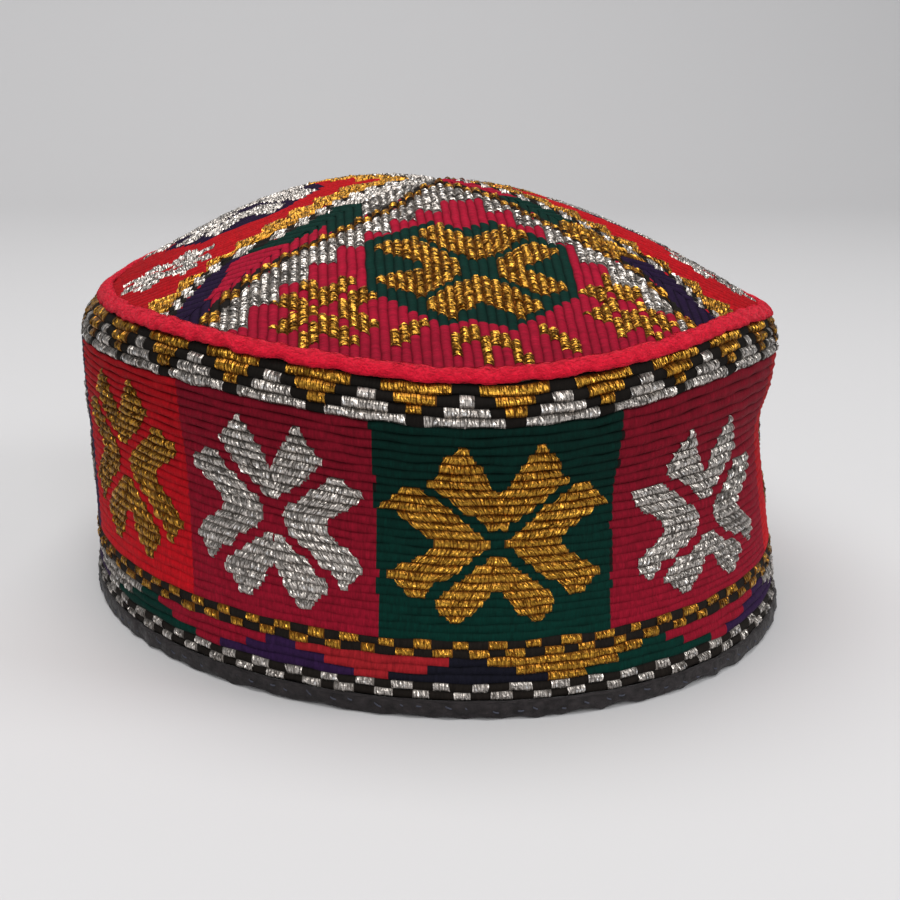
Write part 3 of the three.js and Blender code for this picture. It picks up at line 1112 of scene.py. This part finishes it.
def gore_stitch_lines(gore, runs):
    kept = []
    for rib, start, end, thread, *leans in runs:
        middle = gore.middle(rib)
        low = max(start, gore.seam_at(middle))
        high = min(end, float(gore.edge_at(np.array([middle]))[0]))
        if high - low > CROWN_PITCH / 2:
            kept.append((rib, low, high, thread, *leans))
    rib, out, lean = stitch_places(kept, CROWN_PITCH)
    slant = STITCH_SLANT * rng.normal(STITCH_LEAN, 1, len(rib)) + lean
    share = STITCH_SHARES[None, :]
    lines = gore.rib_point(rib[:, None], share, out[:, None] + slant[:, None] * (share - 0.5))
    ahead = gore.rib_point(rib, 0.5, out + 1) - gore.rib_point(rib, 0.5, out)
    along = unit(ahead)
    outward = unit(np.cross(along, lines[:, -1] - lines[:, 0]))
    return lines, along, outward


metal_lines = {name: [] for name in METALS}
for number, (gore_name, gore_azimuth, *layout) in enumerate(GORES):
    gore = Gore(number, gore_azimuth + CROWN_TURN)
    runs = uneven(gore_runs(gore, *layout), RUN_JITTER)
    make_gore(gore, gore_name, runs)
    make_backing(gore, gore_name)
    by_rib = [[run for run in runs if run[0] == rib] for rib in range(GORE_RIBS)]
    runs = [run for rib_runs in by_rib for run in uncovered(rib_runs)]
    for metal_name in METALS:
        metal_lines[metal_name].append(gore_stitch_lines(gore, of_metal(runs, metal_name)))
for metal_name, parts in metal_lines.items():
    lines, along, outward = (np.concatenate(group) for group in zip(*parts))
    make_stitches("crown_%s_stitches" % metal_name, lines, along, outward, CROWN_PITCH, metal_name)


# Welt

WELT_HALF_WIDTH = 2.15
WELT_HALF_DEPTH = 0.8
WELT_SLANT = math.radians(34)
WELT_INSET = 2.0
WELT_LIFT = 0.95
# How far the welt slides outward over the rim: at the gores' middles, and more beside them
WELT_SLIDE = (0.3, 0.5)
WELT_SIDES = 18
WELT_COLUMNS = 1400
WELT_ROUND = 14.0
welt_wave = Wobble(WELT_SIDES, 30, 200, 0.06)
welt_lie = Wobble(2, 8, 45, 0.12)
welt_edges = Wobble(2, 10, 140, 0.14, 8)


def plain_ring(name, points, color, material, replaces, length):
    """A closed ring of one colour from rows of points, with the length round its section."""
    rows, columns = points.shape[:2]
    piece = make_object(name, points.reshape(-1, 3), ring_faces(rows, columns), material,
                        replaces)
    row, column = grid_corners(rows, columns)
    along = column / columns * TURN * WALL_SECTIONS[0, 1]
    dress(piece, np.repeat(color[None], row.size, 0), np.stack((along, row / rows * length), -1),
          np.stack((column / columns, row / rows), -1))
    piece.data.shade_smooth()


def welt_point(azimuth, turn, swell):
    """Point on the welt, at a turn round its section from its lower edge."""
    ragged = np.where(np.cos(turn) > 0, welt_edges(0, azimuth), welt_edges(1, azimuth))
    along = (WELT_HALF_WIDTH + swell + welt_lie(0, azimuth) + ragged) * np.cos(turn)
    along = along + WELT_SLIDE[0] + WELT_SLIDE[1] * (1 - np.cos(GORE_COUNT * azimuth))
    across = (WELT_HALF_DEPTH + swell) * np.sin(turn)
    radius = (rim_radius(azimuth) - WELT_INSET + along * math.cos(WELT_SLANT)
              + across * math.sin(WELT_SLANT))
    height = (rim_height(azimuth) + WELT_LIFT - along * math.sin(WELT_SLANT)
              + across * math.cos(WELT_SLANT) + welt_lie(1, azimuth)
              + humps_at(FRONT_LIFT, azimuth))
    return round_points(radius, azimuth + 0 * radius, height)


def make_welt():
    azimuth = ring_angles(WELT_COLUMNS)[None, :]
    turn = (np.arange(WELT_SIDES) * -TURN / WELT_SIDES)[:, None]
    points = welt_point(azimuth, turn, welt_wave(np.arange(WELT_SIDES)[:, None], azimuth))
    plain_ring("welt", points, WELT_COLOR, wool, ("crown_piping",), WELT_ROUND)


HAIR_COUNT = 15000
HAIR_LENGTH = 2.2
HAIR_WIDTH = 0.09
HAIR_TURN = 0.7
HAIR_STEPS = np.array((-0.5, -0.15, 0.15, 0.5))
HAIR_LIFT = np.array((-0.12, 0.12, 0.12, -0.04))
# How far hairs go past the welt's edges, and the ranges of their length, lift and shade
HAIR_PAST = 0.3
HAIR_LENGTHS = (0.4, 1.2)
HAIR_LIFTS = (0.5, 1.6)
HAIR_SHADES = (0.7, 1.5)


def make_welt_hairs():
    """Short wool hairs that lie over the welt and stand off its edges."""
    azimuth = rng.uniform(0, TURN, (HAIR_COUNT, 1))
    turn = rng.uniform(-HAIR_PAST, math.pi + HAIR_PAST, (HAIR_COUNT, 1))
    way = rng.normal(0, HAIR_TURN, (HAIR_COUNT, 1))
    length = HAIR_LENGTH * rng.uniform(*HAIR_LENGTHS, (HAIR_COUNT, 1))
    at = azimuth + HAIR_STEPS * length * np.cos(way) / WALL_SECTIONS[-1, 1]
    around = turn + HAIR_STEPS * length * np.sin(way) / WELT_HALF_WIDTH
    lift = HAIR_LIFT * rng.uniform(*HAIR_LIFTS, (HAIR_COUNT, 1))
    middle = welt_point(at, around, lift)
    outward = welt_point(azimuth, turn, 0.1) - welt_point(azimuth, turn, 0.0)
    side = unit(np.cross(middle[:, -1] - middle[:, 0], outward[:, 0])) * HAIR_WIDTH / 2
    points = np.stack((middle - side[:, None], middle + side[:, None]), 2)
    piece, quad = make_strips("welt_hairs", points, wool)
    shade = np.repeat(rng.uniform(*HAIR_SHADES, HAIR_COUNT), quad.size)
    set_colors(piece, WELT_COLOR * shade[:, None])
    places = np.repeat(rng.uniform(0, 1, (HAIR_COUNT, 2)), quad.size, 0)
    set_map(piece, "Threads", places * WALL_SECTIONS[-1, 1])
    set_strip_map(piece, HAIR_COUNT, quad)


make_welt()
make_welt_hairs()


# Hem tape

TAPE_THICKNESS = 1.0
TAPE_GAP = 0.1
TAPE_PROUD = 0.55
TAPE_COLUMNS = 720
TAPE_ROUND = 22.0
# The tape's section: how far its top goes in under the cords, its bevels at the top and at the
# bottom, and how far its inner edge and the fold in it lie below the top
TAPE_TUCK = 0.3
TAPE_TOP_BEVEL = (0.15, 0.3)
TAPE_BEVEL = 0.18
TAPE_INNER_DROP = 0.2
TAPE_FOLD = 1.5
TAPE_STITCHES = 110
TAPE_STITCH_HEIGHT = 2.4
TAPE_STITCH_LENGTH = 1.9
TAPE_STITCH_WIDTH = 0.42
# Stray along and up, range of length, mean and spread of the slant, bow, sink and roundness
TAPE_STITCH_STRAY = (0.25, 0.6)
TAPE_STITCH_LENGTHS = (0.5, 1.2)
TAPE_STITCH_SLANT = (-0.35, 0.2)
TAPE_STITCH_BOW = 0.25
TAPE_STITCH_SINK = 0.1
TAPE_STITCH_ROUND = 0.12


def tape_section(azimuth):
    """Radius and height round the folded tape, from its top down the outside and up the inside."""
    outside = TAPE_PROUD
    inside = -BAND_THICKNESS - TAPE_GAP - TAPE_THICKNESS
    corner = TAPE_THICKNESS / 2
    top_in, top_down = TAPE_TOP_BEVEL
    rows = (
        (-TAPE_TUCK, HEM_TOP), (outside - corner, HEM_TOP), (outside - top_in, HEM_TOP - top_down),
        (outside, HEM_TOP - corner), (outside, HEM_TOP / 2), (outside, corner),
        (outside - TAPE_BEVEL, TAPE_BEVEL), (outside - corner, 0.0), (inside + corner, 0.0),
        (inside + TAPE_BEVEL, TAPE_BEVEL), (inside, corner), (inside, HEM_TOP - corner),
        (inside + corner, HEM_TOP), (-BAND_THICKNESS - TAPE_GAP, HEM_TOP - TAPE_INNER_DROP),
        (-BAND_THICKNESS, HEM_TOP - TAPE_FOLD), (0.0, HEM_TOP - TAPE_FOLD),
    )
    radius = np.array([[offset] for offset, _ in rows])
    height = np.array([[level] for _, level in rows]) + 0 * azimuth
    return wall_at(height, azimuth) + radius, height


tape_wave = Wobble(16, 12, 80, 0.16)
tape_dip = Wobble(1, 7, 40, 0.45)


def make_tape():
    azimuth = ring_angles(TAPE_COLUMNS)[None, :]
    radius, height = tape_section(azimuth)
    lumps = tape_wave(np.arange(len(radius))[:, None], azimuth)
    radius = radius + lumps * (height > 0)
    height = height + np.abs(tape_dip(0, azimuth)) * (height < TAPE_THICKNESS)
    points = round_points(radius, azimuth + 0 * radius, height)
    plain_ring("hem_tape", points, TAPE_COLOR, tape, ("hem_binding",), TAPE_ROUND)


make_tape()


def make_tape_stitches():
    """Short sewing stitches that hold the tape."""
    step = TURN / TAPE_STITCHES
    stray, rise_stray = TAPE_STITCH_STRAY
    azimuth = (np.arange(TAPE_STITCHES) * step
               + rng.uniform(-stray, stray, TAPE_STITCHES) * step)
    height = TAPE_STITCH_HEIGHT + rng.uniform(-rise_stray, rise_stray, TAPE_STITCHES)
    radius = wall_at(height, azimuth) + TAPE_PROUD
    share = np.linspace(-0.5, 0.5, STITCH_STEPS + 1)[None, :]
    length = TAPE_STITCH_LENGTH * rng.uniform(*TAPE_STITCH_LENGTHS, (TAPE_STITCHES, 1))
    slant = rng.normal(*TAPE_STITCH_SLANT, (TAPE_STITCHES, 1))
    at = azimuth[:, None] + share * length * np.cos(slant) / radius[:, None]
    rise = height[:, None] + share * length * np.sin(slant)
    bow = TAPE_STITCH_BOW * (1 - (2 * share) ** 2)
    middle = round_points(radius[:, None] - TAPE_STITCH_SINK + bow, at, rise)
    edge = np.array((0, 0, TAPE_STITCH_WIDTH / 2))
    outward = round_points(1, at, 0 * at) * TAPE_STITCH_ROUND
    points = np.stack((middle - edge, middle + outward, middle + edge), 2)
    piece, quad = make_strips("hem_stitches", points, cotton)
    corners = quad.size * TAPE_STITCHES
    set_colors(piece, np.repeat(TAPE_STITCH_COLOR[None], corners, 0))
    set_map(piece, "Threads", np.zeros((corners, 2)))
    piece.data.shade_smooth()


make_tape_stitches()


# Camera, at the photograph's angle

CAMERA_AZIMUTH = math.radians(-9)
CAMERA_ELEVATION = math.radians(16.6)
CAMERA_ROLL = math.radians(1.2)
CAMERA_DISTANCE = 0.388
CAMERA_LENS = 56.0
SENSOR_WIDTH = 36.0
IMAGE_SIZE = 900
TARGET_PIXEL = (432.2, 431.3)
TARGET_HEIGHT = 39.5


def make_camera():
    data = bpy.data.cameras.new("camera")
    data.lens = CAMERA_LENS
    data.sensor_width = SENSOR_WIDTH
    data.shift_x = (IMAGE_SIZE / 2 - TARGET_PIXEL[0]) / IMAGE_SIZE
    data.shift_y = (TARGET_PIXEL[1] - IMAGE_SIZE / 2) / IMAGE_SIZE
    camera = add_object("camera", data)
    level = math.cos(CAMERA_ELEVATION)
    back = Vector((
        math.sin(CAMERA_AZIMUTH) * level,
        -math.cos(CAMERA_AZIMUTH) * level,
        math.sin(CAMERA_ELEVATION),
    ))
    target = Vector((AXIS + (0, 0, TARGET_HEIGHT)) * MM)
    camera.location = target + back * CAMERA_DISTANCE
    camera.rotation_mode = "QUATERNION"
    look = (-back).to_track_quat("-Z", "Y")
    camera.rotation_quaternion = look @ Quaternion((0, 0, 1), CAMERA_ROLL)
    bpy.context.scene.camera = camera


make_camera()


# Light and floor

# Soft lamps: place, width, power and colour
LAMPS = (
    ("lamp_above", (-0.2, 0.05, 1.3), 1.1, 15.5, (1.0, 0.98, 0.96)),
    ("lamp_front", (-0.1, -1.4, 0.95), 0.9, 12.0, (1.0, 0.99, 0.98)),
    ("lamp_side", (1.1, -0.35, 0.8), 0.5, 5.0, (1.0, 1.0, 1.0)),
)
WORLD_COLOR = (0.80, 0.81, 0.83)
WORLD_STRENGTH = 0.32
FLOOR_HALF = 2.5
FLOOR_BACK = 0.75
FLOOR_CURVE = 0.5
FLOOR_RISE = 2.0
FLOOR_STEPS = 17
FLOOR_COLOR = (0.56, 0.56, 0.57, 1)


def make_lamps():
    for name, place, width, power, color in LAMPS:
        data = bpy.data.lights.new(name, "AREA")
        data.size = width
        data.energy = power
        data.color = color
        lamp = add_object(name, data)
        lamp.location = place
        lamp.rotation_mode = "QUATERNION"
        aim = Vector((0, 0, TARGET_HEIGHT * MM)) - Vector(place)
        lamp.rotation_quaternion = aim.to_track_quat("-Z", "Y")
    world = bpy.data.worlds.new("studio")
    world.use_nodes = True
    background = world.node_tree.nodes["Background"]
    set_sockets(background, {"Color": (*WORLD_COLOR, 1), "Strength": WORLD_STRENGTH})
    bpy.context.scene.world = world


def make_floor():
    """A pale floor that sweeps up behind the cap."""
    bend = np.linspace(0, math.pi / 2, FLOOR_STEPS)
    profile = [(-FLOOR_HALF, 0.0)]
    for turn in bend:
        back = FLOOR_BACK + FLOOR_CURVE * math.sin(turn)
        profile.append((back, FLOOR_CURVE * (1 - math.cos(turn))))
    profile.append((FLOOR_BACK + FLOOR_CURVE, FLOOR_RISE))
    points = [(x, y, z) for y, z in profile for x in (-FLOOR_HALF, FLOOR_HALF)]
    faces = [(2 * n, 2 * n + 1, 2 * n + 3, 2 * n + 2) for n in range(len(profile) - 1)]
    mesh = bpy.data.meshes.new("floor")
    mesh.from_pydata(points, [], faces)
    mesh.shade_smooth()
    material, *_ = new_material("pale_floor", {"Base Color": FLOOR_COLOR, "Roughness": 0.9})
    mesh.materials.append(material)
    floor = add_object("floor", mesh)


make_lamps()
make_floor()
bpy.context.scene.view_settings.view_transform = "Standard"

bpy.context.view_layer.update()
